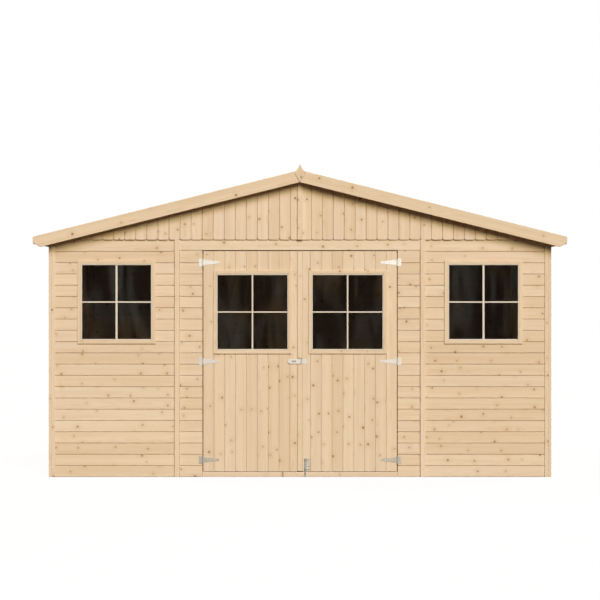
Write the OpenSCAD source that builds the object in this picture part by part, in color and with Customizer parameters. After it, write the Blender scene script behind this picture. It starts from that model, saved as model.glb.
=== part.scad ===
// Wooden garden shed: tongue-and-groove board walls on a stud frame, a 14 degree pitched roof,
// four fixed windows and a pair of ledged doors on T-hinges, with a hasp and a foot bolt.
// Millimetres, +Z up. The front looks towards -Y and everything stands on Z = 0.
// The origin is the middle of the ground plan.

/* [Walls] */
// Width over the side wall boards
wall_w = 3890; // [3300:10:5000]
// Depth over the front and back wall boards
wall_d = 3000; // [2200:10:4500]
// Height of the lower edge of the gable boards
wall_h = 1856; // [1840:1:2300]
// Height of a lower wall panel that is lapped by the gable boards
gable_lap = 14; // [5:1:30]
// Thickness of the wall boards
board_t = 16; // [12:1:24]
// Depth of the framing timbers
frame_d = 45; // [34:1:70]
// Thickness of the framing timbers
frame_t = 34; // [25:1:45]
// Greatest spacing of the side wall studs
stud_pitch = 600; // [400:10:800]
// Hairline left between two framing timbers
joint_gap = 0.4; // [0.2:0.1:1]

/* [Trim] */
// Width of the cover strips over the panel joints
strip_w = 40; // [30:1:60]
// Thickness of the cover strips and corner boards
strip_t = 16; // [10:1:22]
// Width of the front board of each corner trim
corner_front_w = 31; // [25:1:60]
// Width of the side board of each corner trim
corner_side_w = 51; // [40:1:80]
// Thickness of the side board of each corner trim
corner_side_t = 20; // [12:1:25]

/* [Floor] */
// Height of the floor bearers
bearer_h = 44; // [41:1:80]
// Thickness of the floor boards
floor_t = 18; // [15:1:28]
// Number of floor joists
joist_n = 7; // [4:1:10]
// Height of the door sill
sill_h = 40; // [30:1:41]

/* [Roof] */
// Roof pitch in degrees
pitch = 14; // [10:1:25]
// Height of the roof boards' underside above the gable's lower edge, at the side wall face
eave_rise = 24.2; // [20:0.2:40]
// Thickness of the roof boards
deck_t = 18; // [12:1:24]
// Thickness of the roofing felt
felt_t = 3; // [2:0.5:6]
// Hairline between the roof boards and the felt
felt_gap = 0.1; // [0.05:0.05:0.5]
// Overhang of the roof boards beyond the front and back walls
verge = 90; // [60:1:250]
// Overhang of the roof boards beyond the side walls
eaves = 115; // [60:1:250]
// Width of the barge boards, square to the slope
barge_w = 92; // [80:1:140]
// Thickness of the barge boards
barge_t = 18; // [12:1:25]
// Height of the barge boards above the felt, square to the slope
barge_up = 8; // [3:1:15]
// Cut taken off the lower corner of a barge board's foot, along its edge
barge_cut = 56; // [30:1:80]
// Thickness of the eaves boards
eaves_board_t = 16; // [12:1:25]
// Height of the eaves boards
eaves_board_h = 66; // [50:1:100]
// Width of the purlins and ridge beam
purlin_w = 45; // [34:1:60]
// Depth of the purlins and ridge beam
purlin_h = 60; // [45:1:80]
// Distance of each purlin from the ridge
purlin_x = 970; // [600:10:1300]

/* [Finial] */
// Height of the finial board
finial_h = 140; // [110:1:180]
// Width of the finial board
finial_w = 76; // [60:1:100]
// Thickness of the finial board
finial_t = 16; // [10:1:20]

/* [Windows] */
// Clear width of glass
glass_w = 538; // [400:1:560]
// Clear height of glass
glass_h = 578; // [400:1:640]
// Thickness of the glass
glass_t = 3; // [2:0.5:6]
// Width of the casing round the glass
casing_w = 37; // [30:1:50]
// Thickness of the casing, proud of the boards
casing_t = 10; // [6:1:14]
// Lap of the casing over the boards
casing_lap = 19; // [10:1:24]
// Depth of the glass behind the board face
glass_set = 4; // [2:1:8]
// Rebate that holds the glass
rebate = 7; // [5:1:10]
// Play round the glass in its rebate
glass_play = 0.3; // [0.1:0.1:1]
// Distance of a wall window's middle from the middle of its wall panel, towards the doors
wall_window_shift = 18; // [0:1:60]
// Height of a wall window's middle
wall_window_z = 1368; // [1300:1:1450]
// Distance of a door window's middle from the doorway's side
door_window_inset = 393; // [360:1:420]
// Height of a door window's middle
door_window_z = 1290; // [1250:1:1400]

/* [Doors] */
// Width of the doorway between the wall boards
doorway_w = 1530; // [1500:1:1900]
// Width of the board panel between the doorway and the cover strip's middle
pier_w = 196; // [120:1:240]
// Height of the header board above the doorway, up to the gable boards
header_h = 82; // [60:1:120]
// Gap at the hinged edge of a door
hinge_gap = 8; // [7:0.5:12]
// Gap above, below and between the doors
door_gap = 7; // [6:0.5:10]
// Place of the gap between the doors, left of the middle
meeting_x = 23; // [15:1:30]
// Thickness of the ledges on the back of a door
ledge_t = 20; // [15:1:30]
// Width of a ledge
ledge_w = 95; // [60:1:120]
// Inset of the ledges from the door's edges
ledge_inset = 28; // [25:1:40]
// Clearance between a closed door and its stop
stop_gap = 5; // [5:0.5:8]
// Width of a door stop
stop_w = 20; // [16:1:24]
// Thickness of a door stop
stop_t = 24; // [18:1:30]

/* [Hinges] */
// Heights of the three hinges' middles
hinge_low_z = 134; // [110:1:200]
hinge_mid_z = 904; // [880:1:930]
hinge_top_z = 1678; // [1660:1:1700]
// Height of the hinge plate on the wall
hinge_plate_h = 60; // [50:1:80]
// Width of the hinge plate on the wall
hinge_plate_w = 30; // [20:1:40]
// Thickness of the hinge metal
hinge_t = 2; // [1.5:0.5:3]
// Radius of the hinge barrel
barrel_r = 4.5; // [4:0.5:6]
// Radius of the hinge pin
pin_r = 2.5; // [2:0.25:3]
// Running clearance between pin and knuckle
pin_gap = 0.08; // [0.02:0.01:0.1]
// Height of the knuckle on the strap
knuckle_h = 40; // [30:1:44]
// Gap between two knuckles
knuckle_gap = 0.4; // [0.2:0.1:1]
// Length of the strap from the pin
strap_len = 131; // [110:1:150]
// Height of the strap where it leaves the knuckle
strap_h = 42; // [36:1:46]
// Height of the strap near its tip
strap_tip_h = 18; // [14:1:24]

/* [Hasp] */
// Height of the hasp's middle
hasp_z = 905; // [890:1:920]
// Distance of the hasp's hinge pin from the middle of the shed
hasp_x = 11; // [9:1:13]
// Length of the leaf from its pin
leaf_len = 107; // [100:1:115]
// Height of the leaf and its plate
leaf_h = 40; // [30:1:44]
// Length of the plate from the pin
hasp_plate_len = 46; // [40:1:50]
// Clearance behind the closed leaf
leaf_clear = 5.5; // [5:0.5:8]
// Length of the slot in the leaf
slot_len = 35; // [34:1:40]
// Height of the slot in the leaf
slot_h = 9; // [8:1:12]
// Distance of the slot's middle from the pin
slot_from_pin = 59.5; // [55:0.5:65]
// Radius of the staple's wire
staple_r = 2; // [1.5:0.5:2.5]
// Distance between the staple's two legs
staple_legs = 22; // [18:1:22]
// How far the staple stands out of the closed leaf
staple_out = 11; // [9:1:14]
// Clearance above and below the leaf where it crosses the cover strip
notch_gap = 6; // [5:0.5:8]

/* [Bolt] */
// Distance of the bolt's rod from the middle of the shed
bolt_x = 43; // [38:1:60]
// Radius of the rod
rod_r = 5; // [4:0.5:6]
// Height of the rod's lower end when it is drawn
rod_z0 = 20; // [18:1:26]
// Length of the rod
rod_len = 128; // [120:1:160]
// Clearance round the rod in its guides
rod_gap = 0.1; // [0.05:0.01:0.3]
// Clearance round the rod in the keeper
keeper_gap = 1; // [0.5:0.1:1.5]
// Width of the bolt's plate
bolt_plate_w = 48; // [40:1:56]
// Height of the bolt's plate
bolt_plate_h = 92; // [80:1:110]
// Height of one rod guide
guide_h = 12; // [8:1:14]
// Wall of a guide round the rod
guide_wall = 3; // [2:0.5:4]
// Height of the knob above the rod's end
knob_z = 70; // [66:1:72]
// Length of the knob from the rod's middle
knob_len = 24; // [18:1:30]
// Radius of the knob
knob_r = 4; // [3:0.5:5]
// Height of the keeper on the sill
keeper_h = 10; // [8:1:11]
// Height of the keeper's lower edge
keeper_z0 = 4; // [2:1:4]

/* [Hidden] */

spruce = "burlywood";
spruce_light = "wheat";
pine = "tan";
felt_grey = "dimgray";
zinc = "lightsteelblue";
pane = "darkslategray";

eps = 0.01;
// Outer face, inner face of the boards and inner face of the frame, across and along
x_out = wall_w / 2;
x_in = x_out - board_t;
x_frame = x_in - frame_d;
y_out = wall_d / 2;
y_in = y_out - board_t;
y_frame = y_in - frame_d;
wall_top = wall_h + gable_lap;
floor_z = bearer_h + floor_t;

// Doorway
door_x = doorway_w / 2;
strip_x = door_x + pier_w;
header_z = wall_h - header_h;
door_z0 = sill_h + door_gap;
door_z1 = header_z - door_gap;
left_door_x0 = -door_x + hinge_gap;
left_door_x1 = -meeting_x - door_gap / 2;
right_door_x0 = -meeting_x + door_gap / 2;
right_door_x1 = door_x - hinge_gap;
pin_x = door_x - hinge_gap / 2;
pin_y = -y_out - barrel_r;
hinge_zs = [hinge_low_z, hinge_mid_z, hinge_top_z];

// Windows
casing_out_w = glass_w + 2 * casing_w;
casing_out_h = glass_h + 2 * casing_w;
hole_w = casing_out_w - 2 * casing_lap;
hole_h = casing_out_h - 2 * casing_lap;
wall_window_x = (strip_x + x_out) / 2 - wall_window_shift;
door_window_x = door_x - door_window_inset;
liner_back = board_t + 4;

// Roof: height of a plane parallel to the slope, "up" square above the roof boards' underside
slope = tan(pitch);
ridge_under = wall_h + eave_rise + x_out * slope;
function roof_z(x, up) = ridge_under - abs(x) * slope + up / cos(pitch);
felt_base = deck_t + felt_gap;
felt_top = felt_base + felt_t;
barge_top = felt_top + barge_up;
barge_bottom = barge_top - barge_w;
deck_x = x_out + eaves;
barge_x = deck_x + eaves_board_t + 2;
deck_y = y_out + verge;
barge_y = deck_y + barge_t;
ridge_beam_z = ridge_under - purlin_h;
purlin_z = roof_z(purlin_x, 0) - purlin_h;
gable_x = x_out + corner_side_t;
gable_y = y_out + strip_t;
rail_x = (ridge_under - wall_top - frame_t) / slope - 5;
side_top = roof_z(x_in, 0);

// Hasp and bolt
leaf_y = -y_out - leaf_clear - hinge_t / 2;
hasp_barrel_r = leaf_clear - hinge_t / 2;
bolt_y = -y_out - hinge_t - guide_wall - rod_r;
bolt_plate_z0 = door_z0 + 5;
keeper_r = rod_r + keeper_gap;

// A box between two corners
module block(a, b) {
    translate(a) cube(b - a);
}

// An outline in X and Z, given thickness from y0 to y1
module upright(y0, y1) {
    translate([0, y1, 0]) rotate([90, 0, 0]) linear_extrude(y1 - y0) children();
}

// A rectangular ring in X and Z round a middle point
module ring(x, z, w_out, h_out, w_in, h_in, y0, y1) {
    upright(y0, y1) translate([x, z]) difference() {
        square([w_out, h_out], center = true);
        square([w_in, h_in], center = true);
    }
}

// The hole that a window's liner fills
module window_hole(x, z) {
    block([x - hole_w / 2, -y_out - 1, z - hole_h / 2], [x + hole_w / 2, -y_in + 1, z + hole_h / 2]);
}

// Casing on the face and liner through the boards, rebated for the glass
module window_frame(x, z) {
    glass_y = -y_out + glass_set;
    color(spruce_light) union() {
        ring(x, z, casing_out_w, casing_out_h, glass_w, glass_h, -y_out - casing_t, -y_out);
        ring(x, z, hole_w, hole_h, glass_w, glass_h, -y_out - eps, glass_y);
        ring(x, z, hole_w, hole_h, glass_w + 2 * rebate, glass_h + 2 * rebate,
            glass_y - eps, -y_out + liner_back);
    }
}

// A pane held in the rebate
module window_glass(x, z) {
    w = glass_w + 2 * (rebate - glass_play);
    h = glass_h + 2 * (rebate - glass_play);
    y0 = -y_out + glass_set;
    color(pane) block([x - w / 2, y0, z - h / 2], [x + w / 2, y0 + glass_t, z + h / 2]);
}

// ---- Floor ----

module floor_bearers() {
    g = joint_gap;
    step = 2 * (x_frame - frame_d) / (joist_n + 1);
    color(pine) {
        for (s = [-1, 1]) {
            // Beside the doorway
            block([min(s * x_in, s * door_x), -y_in, 0], [max(s * x_in, s * door_x), -y_frame, bearer_h]);
            // Along the side walls
            block([min(s * x_in, s * x_frame), -y_frame + g, 0],
                [max(s * x_in, s * x_frame), y_frame - g, bearer_h]);
        }
        block([-x_in, y_frame, 0], [x_in, y_in, bearer_h]);
        for (i = [1:joist_n]) {
            x = -(x_frame - frame_d) + i * step;
            block([x - frame_d / 2, -y_frame + g, 0], [x + frame_d / 2, y_frame - g, bearer_h]);
        }
    }
}

module floor_boards() {
    color(spruce) block([-x_frame + 1, -y_frame + 1, bearer_h], [x_frame - 1, y_frame - 1, floor_z]);
}

module door_sill() {
    color(spruce) block([-door_x + 1, -y_out, 0], [door_x - 1, -y_frame - 1, sill_h]);
}

module bolt_keeper() {
    w = 2 * (keeper_r + guide_wall);
    color(zinc) difference() {
        block([bolt_x - w / 2, bolt_y - w / 2, keeper_z0], [bolt_x + w / 2, -y_out, keeper_z0 + keeper_h]);
        translate([bolt_x, bolt_y, keeper_z0 - 1]) cylinder(r = keeper_r, h = keeper_h + 2, $fn = 48);
    }
}

// ---- Walls ----

// Board panel beside the doorway pier, with its window hole; s is -1 for left and 1 for right
module front_panel(s) {
    color(spruce) difference() {
        block([min(s * x_in, s * strip_x), -y_out, 0], [max(s * x_in, s * strip_x), -y_in, wall_top]);
        window_hole(s * wall_window_x, wall_window_z);
    }
}

module front_pier(s) {
    color(spruce) block([min(s * strip_x, s * door_x), -y_out, 0],
        [max(s * strip_x, s * door_x), -y_in, header_z - joint_gap]);
}

module front_header() {
    color(spruce) block([-strip_x, -y_out, header_z], [strip_x, -y_in, wall_top]);
}

// Upright gable boards, notched for the ridge beam and the purlins, with inner face at y = 0
module gable_panel() {
    color(spruce) difference() {
        upright(-strip_t, 0) polygon([[-gable_x, wall_h], [gable_x, wall_h],
            [gable_x, roof_z(gable_x, 0)], [0, ridge_under], [-gable_x, roof_z(gable_x, 0)]]);
        for (x = [-purlin_x, 0, purlin_x]) {
            z = x == 0 ? ridge_beam_z : purlin_z;
            w = purlin_w + 2 * joint_gap;
            block([x - w / 2, -strip_t - 1, z - joint_gap], [x + w / 2, 1, ridge_under + 1]);
        }
    }
}

module front_gable() {
    translate([0, -y_out, 0]) gable_panel();
}

module back_gable() {
    translate([0, y_out, 0]) rotate([0, 0, 180]) gable_panel();
}

module back_wall() {
    color(spruce) block([-x_in, y_in, 0], [x_in, y_out, wall_top]);
}

// Side wall boards, with the top bevelled to the roof; s is -1 for left and 1 for right
module side_wall(s) {
    color(spruce) upright(-y_out, y_out) polygon([[s * x_in, 0], [s * x_out, 0],
        [s * x_out, roof_z(x_out, 0)], [s * x_in, side_top]]);
}

// ---- Wall frames ----

// An upright timber of the front or back frame
module stud(x, z0, z1) {
    block([x - frame_t / 2, 0, z0 + joint_gap], [x + frame_t / 2, frame_d, z1 - joint_gap]);
}

// Posts and rail behind the gable boards; y = 0 is the boards' inner face
module gable_frame() {
    block([-rail_x, 0, wall_top + joint_gap], [rail_x, frame_d, wall_top + frame_t]);
    stud(0, wall_top + frame_t, ridge_beam_z);
    for (s = [-1, 1]) stud(s * purlin_x, wall_top + frame_t, purlin_z);
}

module front_frame() {
    z0 = bearer_h + frame_t;
    z1 = wall_top - frame_t;
    hole_x0 = wall_window_x - hole_w / 2 - frame_t / 2;
    hole_x1 = wall_window_x + hole_w / 2 + frame_t / 2;
    color(pine) {
        translate([0, -y_in, 0]) {
            block([-x_in, 0, z1], [x_in, frame_d, wall_top]);
            block([-door_x + joint_gap, 0, header_z], [door_x - joint_gap, frame_d, z1 - joint_gap]);
            for (s = [-1, 1]) {
                block([min(s * x_in, s * door_x), 0, bearer_h], [max(s * x_in, s * door_x), frame_d, z0]);
                for (x = [door_x + frame_t / 2, strip_x, hole_x0, hole_x1, x_in - frame_t / 2])
                    stud(s * x, z0, z1);
                // Rails under and over the window
                for (z = [wall_window_z - hole_h / 2 - frame_t, wall_window_z + hole_h / 2])
                    block([s * wall_window_x - hole_w / 2 + joint_gap, 0, z],
                        [s * wall_window_x + hole_w / 2 - joint_gap, frame_d, z + frame_t]);
            }
        }
        translate([0, -y_out, 0]) gable_frame();
    }
}

module back_frame() {
    z0 = bearer_h + frame_t;
    z1 = wall_top - frame_t;
    color(pine) rotate([0, 0, 180]) {
        translate([0, -y_in, 0]) {
            block([-x_in, 0, z1], [x_in, frame_d, wall_top]);
            block([-x_in, 0, bearer_h], [x_in, frame_d, z0]);
            for (x = [0, strip_x, x_in - frame_t / 2], s = [-1, 1])
                if (x > 0 || s > 0) stud(s * x, z0, z1);
        }
        translate([0, -y_out, 0]) gable_frame();
    }
}

// Side frame between the front and back frames; s is -1 for left and 1 for right
module side_frame(s) {
    y = y_frame - joint_gap;
    z0 = bearer_h + frame_t;
    z1 = side_top - frame_t;
    x0 = min(s * x_in, s * x_frame);
    x1 = max(s * x_in, s * x_frame);
    n = ceil(2 * y / stud_pitch);
    color(pine) {
        block([x0, -y, bearer_h], [x1, y, z0]);
        block([x0, -y, z1], [x1, y, side_top]);
        for (i = [0:n]) {
            yc = -y + frame_t / 2 + i * (2 * y - frame_t) / n;
            block([x0, yc - frame_t / 2, z0 + joint_gap], [x1, yc + frame_t / 2, z1 - joint_gap]);
        }
    }
}

// Strips that the closed doors stop against, at both sides and above
module door_stops() {
    y0 = -y_in + stop_gap;
    z1 = header_z - stop_w + 1;
    color(pine) {
        for (s = [-1, 1])
            block([min(s * door_x, s * (door_x - stop_w)), y0, sill_h],
                [max(s * door_x, s * (door_x - stop_w)), y0 + stop_t, z1 - joint_gap]);
        block([-door_x, y0, z1], [door_x, y0 + stop_t, header_z]);
    }
}

// ---- Trim ----

// Front and side board at each of the four corners
module corner_trims() {
    color(spruce_light) for (sx = [-1, 1], sy = [-1, 1]) {
        xa = sx * x_out;
        xb = sx * (x_out - corner_front_w);
        xc = sx * (x_out + corner_side_t);
        ya = sy * y_out;
        yb = sy * gable_y;
        yc = sy * (gable_y - corner_side_w);
        xj = xa - sx * joint_gap;
        block([min(xj, xb), min(ya, yb), 0], [max(xj, xb), max(ya, yb), wall_h]);
        block([min(xa, xc), min(yb, yc), 0], [max(xa, xc), max(yb, yc), wall_h]);
    }
}

// Strips over the joints between wall panels, and over the middle of the gable; outer wall face at y = 0
module cover_strips() {
    color(spruce_light) {
        for (s = [-1, 1])
            block([s * strip_x - strip_w / 2, -strip_t, 0], [s * strip_x + strip_w / 2, 0, wall_h]);
        block([-strip_w / 2, -2 * strip_t, wall_h], [strip_w / 2, -strip_t, ridge_beam_z - joint_gap]);
    }
}

module front_cover_strips() {
    translate([0, -y_out, 0]) cover_strips();
}

module back_cover_strips() {
    translate([0, y_out, 0]) rotate([0, 0, 180]) cover_strips();
}

// ---- Roof ----

// One slope of roof boards; s is -1 for left and 1 for right
module roof_boards(s) {
    color(spruce) upright(-deck_y, deck_y) polygon([[0, ridge_under], [0, roof_z(0, deck_t)],
        [s * deck_x, roof_z(deck_x, deck_t)], [s * deck_x, roof_z(deck_x, 0)]]);
}

// One slope of felt, laid to the outer edge of the barge boards' feet; s is -1 for left and 1 for right
module roof_felt(s) {
    x = barge_x;
    color(felt_grey) upright(-deck_y, deck_y) polygon([[0, roof_z(0, felt_base)], [0, roof_z(0, felt_top)],
        [s * x, roof_z(x, felt_top)], [s * x, roof_z(x, felt_base)]]);
}

module roof_purlins() {
    h = purlin_w / 2;
    color(pine) upright(-deck_y, deck_y) {
        polygon([[-h, ridge_beam_z], [h, ridge_beam_z], [h, roof_z(h, 0)], [0, ridge_under], [-h, roof_z(h, 0)]]);
        for (s = [-1, 1])
            polygon([[s * (purlin_x - h), purlin_z], [s * (purlin_x + h), purlin_z],
                [s * (purlin_x + h), roof_z(purlin_x + h, 0)], [s * (purlin_x - h), roof_z(purlin_x - h, 0)]]);
    }
}

// Upright boards along the lower edges of the roof
module eaves_boards() {
    z1 = roof_z(deck_x + eaves_board_t, deck_t);
    color(spruce_light) for (s = [-1, 1])
        block([min(s * deck_x, s * (deck_x + eaves_board_t)), -deck_y, z1 - eaves_board_h],
            [max(s * deck_x, s * (deck_x + eaves_board_t)), deck_y, z1]);
}

// Sloping board on the roof's edge, mitred at the ridge; its inner face is at y = 0
module barge_board(s) {
    cut_x = barge_x - barge_cut;
    z1 = roof_z(barge_x, barge_top);
    color(spruce_light) upright(-barge_t, 0) polygon([[0, roof_z(0, barge_top)], [s * barge_x, z1],
        [s * barge_x, (z1 + roof_z(barge_x, barge_bottom)) / 2],
        [s * cut_x, roof_z(cut_x, barge_bottom)], [0, roof_z(0, barge_bottom)]]);
}

// Kite-shaped board over the mitre, with hollowed shoulders; its inner face is at y = 0
module finial() {
    w = finial_w / 2;
    z0 = roof_z(0, barge_bottom) - 2;
    z1 = z0 + finial_h;
    shoulder = [for (t = [0:0.25:1]) [w * (0.08 + 0.84 * pow(t, 1.3)), z1 - 0.38 * finial_h * pow(t, 0.8)]];
    half = concat([[0, z0]], [[w, z0 + 0.49 * finial_h]], [for (i = [4:-1:0]) shoulder[i]]);
    outline = concat(half, [for (i = [len(half) - 1:-1:1]) [-half[i][0], half[i][1]]]);
    color(spruce_light) upright(-finial_t, 0) polygon(outline);
}

module front_finial() {
    translate([0, -barge_y, 0]) finial();
}

module back_finial() {
    translate([0, barge_y, 0]) rotate([0, 0, 180]) finial();
}

// ---- Door hinges ----

// Wall plate, two end knuckles and the pin; the plate lies at -X and the pin stands at x = 0
module hinge_plate(z) {
    h = hinge_plate_h / 2;
    k = knuckle_h / 2 + knuckle_gap;
    cut = barrel_r + 1.5;
    difference() {
        union() {
            block([-hinge_plate_w, -hinge_t, z - h], [0, 0, z + h]);
            translate([0, -barrel_r, z - h]) cylinder(r = barrel_r, h = 2 * h, $fn = 48);
        }
        block([-cut, -3 * barrel_r, z - k], [2 * barrel_r, 1, z + k]);
    }
    translate([0, -barrel_r, z - h]) cylinder(r = pin_r, h = 2 * h, $fn = 48);
}

module hinge_plates() {
    color(zinc) for (z = hinge_zs) {
        translate([-pin_x, -y_out, 0]) hinge_plate(z);
        translate([pin_x, -y_out, 0]) mirror([1, 0, 0]) hinge_plate(z);
    }
}

// Tapering strap with a round tip and its knuckle; the strap lies at +X and the pin stands at x = 0
module hinge_strap(z) {
    r = strap_tip_h / 2;
    root = barrel_r + 6;
    difference() {
        union() {
            upright(-hinge_t, 0) translate([0, z]) {
                polygon([[0, -knuckle_h / 2], [barrel_r + 1, -knuckle_h / 2], [root, -strap_h / 2],
                    [strap_len - r, -r], [strap_len - r, r],
                    [root, strap_h / 2], [barrel_r + 1, knuckle_h / 2], [0, knuckle_h / 2]]);
                translate([strap_len - r, 0]) circle(r = r, $fn = 48);
            }
            translate([0, -barrel_r, z - knuckle_h / 2]) cylinder(r = barrel_r, h = knuckle_h, $fn = 48);
        }
        translate([0, -barrel_r, z - knuckle_h]) cylinder(r = pin_r + pin_gap, h = 2 * knuckle_h, $fn = 48);
    }
}

module left_hinge_straps() {
    color(zinc) for (z = hinge_zs) translate([-pin_x, -y_out, 0]) hinge_strap(z);
}

module right_hinge_straps() {
    color(zinc) for (z = hinge_zs) translate([pin_x, -y_out, 0]) mirror([1, 0, 0]) hinge_strap(z);
}

// ---- Doors ----

module door_boards(x0, x1, window_x) {
    color(spruce) difference() {
        block([x0, -y_out, door_z0], [x1, -y_in, door_z1]);
        window_hole(window_x, door_window_z);
    }
}

// Three ledges and a brace on the back of a door; up says which edge the brace climbs from
module door_ledges(x0, x1, up) {
    a = x0 + ledge_inset;
    b = x1 - ledge_inset;
    low = hinge_low_z - ledge_w / 2;
    mid = hinge_mid_z - ledge_w / 2;
    top = hinge_top_z - ledge_w / 2;
    foot = up > 0 ? a : b;
    head = up > 0 ? b : a;
    color(pine) upright(-y_in, -y_in + ledge_t) {
        for (z = [low, mid, top]) translate([a, z]) square([b - a, ledge_w]);
        polygon([[foot, low + ledge_w + joint_gap], [foot + up * 1.2 * ledge_w, low + ledge_w + joint_gap],
            [head, mid - joint_gap], [head - up * 1.2 * ledge_w, mid - joint_gap]]);
    }
}

// Strip over the right door's meeting edge, left out where the hasp crosses it
module door_cover_strip() {
    x1 = right_door_x0 + strip_w;
    n = leaf_h / 2 + notch_gap;
    color(spruce_light) {
        block([right_door_x0, -y_out - strip_t, door_z0], [x1, -y_out, hasp_z - n]);
        block([right_door_x0, -y_out - strip_t, hasp_z + n], [x1, -y_out, door_z1]);
    }
}

// ---- Hasp ----

// Plate with two end knuckles and the pin
module hasp_plate() {
    h = leaf_h / 2;
    k = leaf_h / 4 + knuckle_gap;
    r = hasp_barrel_r;
    color(zinc) translate([hasp_x, -y_out, hasp_z]) {
        difference() {
            union() {
                upright(-hinge_t, 0) {
                    translate([0, -h]) square([hasp_plate_len - h, 2 * h]);
                    translate([hasp_plate_len - h, 0]) circle(r = h, $fn = 64);
                }
                translate([0, leaf_y + y_out, -h]) cylinder(r = r, h = 2 * h, $fn = 48);
                block([0, leaf_y + y_out, -h], [r, -hinge_t + eps, h]);
            }
            block([-2 * r, leaf_y + y_out - 2 * r, -k], [2 * r, -hinge_t, k]);
        }
        translate([0, leaf_y + y_out, -h]) cylinder(r = pin_r, h = 2 * h, $fn = 48);
    }
}

// Slotted leaf with a round end and its knuckle
module hasp_leaf() {
    h = leaf_h / 2;
    k = leaf_h / 4;
    r = hasp_barrel_r;
    color(zinc) translate([hasp_x, leaf_y, hasp_z]) difference() {
        union() {
            upright(-hinge_t / 2, hinge_t / 2) difference() {
                union() {
                    translate([-leaf_len + h, -h]) square([leaf_len - h - r - 1, 2 * h]);
                    translate([-r - 2, -k]) square([r + 2, 2 * k]);
                    translate([-leaf_len + h, 0]) circle(r = h, $fn = 64);
                }
                for (s = [-1, 1]) translate([-slot_from_pin + s * (slot_len - slot_h) / 2, 0])
                    circle(d = slot_h, $fn = 32);
                translate([-slot_from_pin, 0]) square([slot_len - slot_h, slot_h], center = true);
            }
            translate([0, 0, -k]) cylinder(r = r, h = 2 * k, $fn = 48);
        }
        translate([0, 0, -2 * k]) cylinder(r = pin_r + pin_gap, h = 4 * k, $fn = 48);
    }
}

// Wire loop that stands out through the leaf's slot
module hasp_staple() {
    out = leaf_clear + hinge_t + staple_out - staple_legs / 2;
    color(zinc) translate([hasp_x - slot_from_pin, -y_out, hasp_z]) {
        for (s = [-1, 1]) translate([s * staple_legs / 2, 0, 0]) rotate([90, 0, 0])
            cylinder(r = staple_r, h = out, $fn = 24);
        translate([0, -out, 0]) rotate([0, 0, 180]) rotate_extrude(angle = 180, $fn = 48)
            translate([staple_legs / 2, 0]) circle(r = staple_r, $fn = 24);
    }
}

// ---- Foot bolt ----

// Plate with two guides for the rod
module bolt_plate() {
    x0 = bolt_x - rod_r - guide_wall - 4;
    g = rod_r + guide_wall;
    z1 = bolt_plate_z0 + bolt_plate_h;
    color(zinc) difference() {
        union() {
            block([x0, -y_out - hinge_t, bolt_plate_z0], [x0 + bolt_plate_w, -y_out, z1]);
            for (z = [bolt_plate_z0 + 4, z1 - 4 - guide_h]) {
                block([bolt_x - g, bolt_y, z], [bolt_x + g, -y_out - hinge_t + eps, z + guide_h]);
                translate([bolt_x, bolt_y, z]) cylinder(r = g, h = guide_h, $fn = 48);
            }
        }
        translate([bolt_x, bolt_y, door_z0]) cylinder(r = rod_r + rod_gap, h = 2 * bolt_plate_h, $fn = 48);
    }
}

// Sliding rod with its knob
module bolt_rod() {
    color(zinc) translate([bolt_x, bolt_y, rod_z0]) {
        cylinder(r = rod_r, h = rod_len, $fn = 48);
        translate([0, 0, knob_z]) rotate([0, 90, 0]) cylinder(r = knob_r, h = knob_len, $fn = 32);
    }
}

floor_bearers();
floor_boards();
door_sill();
bolt_keeper();
front_panel(-1);  // front_left_wall
front_panel(1);  // front_right_wall
front_pier(-1);  // front_left_pier
front_pier(1);  // front_right_pier
front_header();
front_gable();
back_wall();
back_gable();
side_wall(-1);  // left_wall
side_wall(1);  // right_wall
front_frame();
back_frame();
side_frame(-1);  // left_frame
side_frame(1);  // right_frame
door_stops();
corner_trims();
front_cover_strips();
back_cover_strips();
window_frame(-wall_window_x, wall_window_z);  // left_window_frame
window_glass(-wall_window_x, wall_window_z);  // left_window_glass
window_frame(wall_window_x, wall_window_z);  // right_window_frame
window_glass(wall_window_x, wall_window_z);  // right_window_glass
roof_boards(-1);  // left_roof_boards
roof_boards(1);  // right_roof_boards
roof_felt(-1);  // left_roof_felt
roof_felt(1);  // right_roof_felt
roof_purlins();
eaves_boards();
translate([0, -deck_y, 0]) barge_board(-1);  // front_left_barge_board
translate([0, -deck_y, 0]) barge_board(1);  // front_right_barge_board
translate([0, barge_y, 0]) barge_board(-1);  // back_left_barge_board
translate([0, barge_y, 0]) barge_board(1);  // back_right_barge_board
front_finial();
back_finial();
hinge_plates();
door_boards(left_door_x0, left_door_x1, -door_window_x);  // left_door_boards
door_ledges(left_door_x0, left_door_x1, 1);  // left_door_ledges
window_frame(-door_window_x, door_window_z);  // left_door_window_frame
window_glass(-door_window_x, door_window_z);  // left_door_glass
left_hinge_straps();
hasp_staple();
door_boards(right_door_x0, right_door_x1, door_window_x);  // right_door_boards
door_ledges(right_door_x0, right_door_x1, -1);  // right_door_ledges
window_frame(door_window_x, door_window_z);  // right_door_window_frame
window_glass(door_window_x, door_window_z);  // right_door_glass
right_hinge_straps();
door_cover_strip();
hasp_plate();
bolt_plate();
hasp_leaf();
bolt_rod();
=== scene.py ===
# %% [markdown]
# # A wooden garden shed
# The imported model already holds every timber, door and hinge at its real size and place. This file
# dresses that frame: plain panels become tongue-and-groove boards, timbers get eased edges, windows get
# beads and bars, and every surface gets a finish worked out from the real material.
# The frame is loaded first, because every size below is measured from it.

# %% Load the frame
import math
import random
from functools import partial

import bmesh
import bpy
from mathutils import Matrix, Vector


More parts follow.
